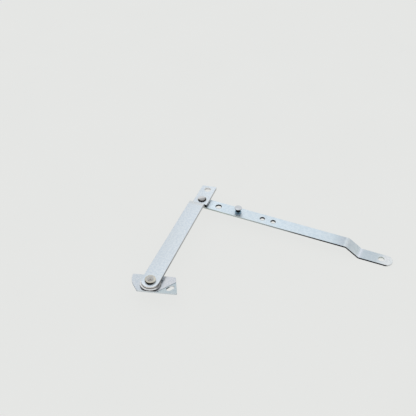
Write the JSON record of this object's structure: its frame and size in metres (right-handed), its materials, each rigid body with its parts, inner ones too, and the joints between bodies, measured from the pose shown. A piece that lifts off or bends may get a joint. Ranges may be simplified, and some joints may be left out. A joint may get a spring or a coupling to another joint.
{
  "type": "door closer arm",
  "caption": "Folding door closer arm: a slotted frame bracket, a joggled main arm pivoting on it and a joggled forearm with a spool stud, joined by shouldered rivets.",
  "frame": {"origin": "on the bracket's pivot axis, at the bracket's underside, which lies against the door frame", "axes": "+X along the bracket's straight back edge towards the slot, +Y away from the slot's edge towards the arms, +Z along both pivots, away from the mounting face"},
  "size_m": [0.3601, 0.237, 0.0355],
  "materials": {
    "zinc_bracket": "bright bluish zinc plate over pressed steel",
    "zinc_main_arm": "bright bluish zinc plate over rolled strip",
    "zinc_forearm": "bright bluish zinc plate over rolled strip",
    "yellow_zinc": "yellow passivated zinc on a headed rivet",
    "plain_rivet": "plain steel, polished by heading",
    "zinc_washer": "zinc plated stamped washer",
    "dark_steel": "blackened spring steel",
    "bush_brass": "turned plain bearing",
    "turned_stud": "turned and bright plated"
  },
  "bodies": {
    "bracket": {"mounting_bracket": "zinc_bracket", "bracket_pivot_rivet": "yellow_zinc", "bracket_seat_washer": "dark_steel", "bracket_spacer_washer": "zinc_washer", "bracket_disc_spring": "dark_steel"},
    "main_arm": {"main_arm": "zinc_main_arm", "bracket_pivot_bush": "bush_brass", "elbow_bush": "bush_brass"},
    "forearm": {"forearm": "zinc_forearm", "elbow_rivet": "plain_rivet", "elbow_disc_spring": "dark_steel", "elbow_spacer_washer": "zinc_washer", "elbow_tail_washer": "zinc_washer", "spring_stud": "turned_stud"}
  },
  "joints": [
    {"name": "bracket_pivot", "type": "hinge", "parent": "bracket", "child": "main_arm", "pos_m": [0, 0, 0], "axis": [0, 0, 1], "range_deg": [-50, 104]},
    {"name": "elbow", "type": "hinge", "parent": "main_arm", "child": "forearm", "pos_m": [0.04607, 0.18897, 0], "axis": [0, 0, 1], "range_deg": [-87.5, 92.5]}
  ]
}
